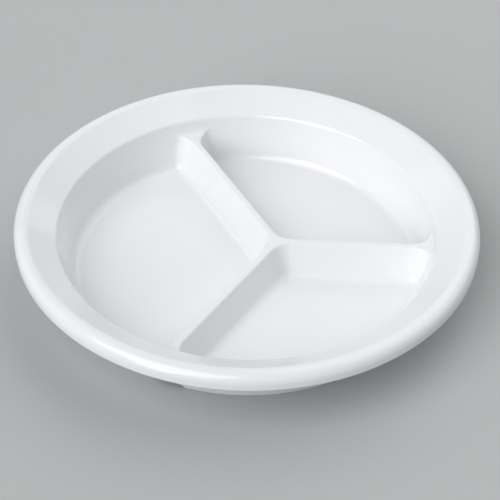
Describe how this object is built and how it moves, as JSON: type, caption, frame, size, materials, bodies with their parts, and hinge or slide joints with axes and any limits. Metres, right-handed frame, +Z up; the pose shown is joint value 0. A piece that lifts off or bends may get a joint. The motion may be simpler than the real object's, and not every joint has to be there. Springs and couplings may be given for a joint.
{
  "type": "divided plate",
  "caption": "Round glossy white plate with a deep well split into one large and two small compartments, a sloping rim, a rolled lip and a foot ring.",
  "frame": {"origin": "centre of the foot ring's lower face, on the plate's axis", "axes": "+Z up along the plate's axis, +X along the divider between the two small compartments"},
  "size_m": [0.229, 0.229, 0.0366],
  "materials": {
    "melamine": "gloss"
  },
  "bodies": {
    "root": {"lip": "melamine", "rim": "melamine", "wall": "melamine", "floor_main": "melamine", "floor_back": "melamine", "floor_front": "melamine", "divider_right": "melamine", "divider_back": "melamine", "divider_front": "melamine", "root_right": "melamine", "root_back": "melamine", "root_front": "melamine", "divider_hub": "melamine", "foot_ring": "melamine"}
  },
  "joints": []
}
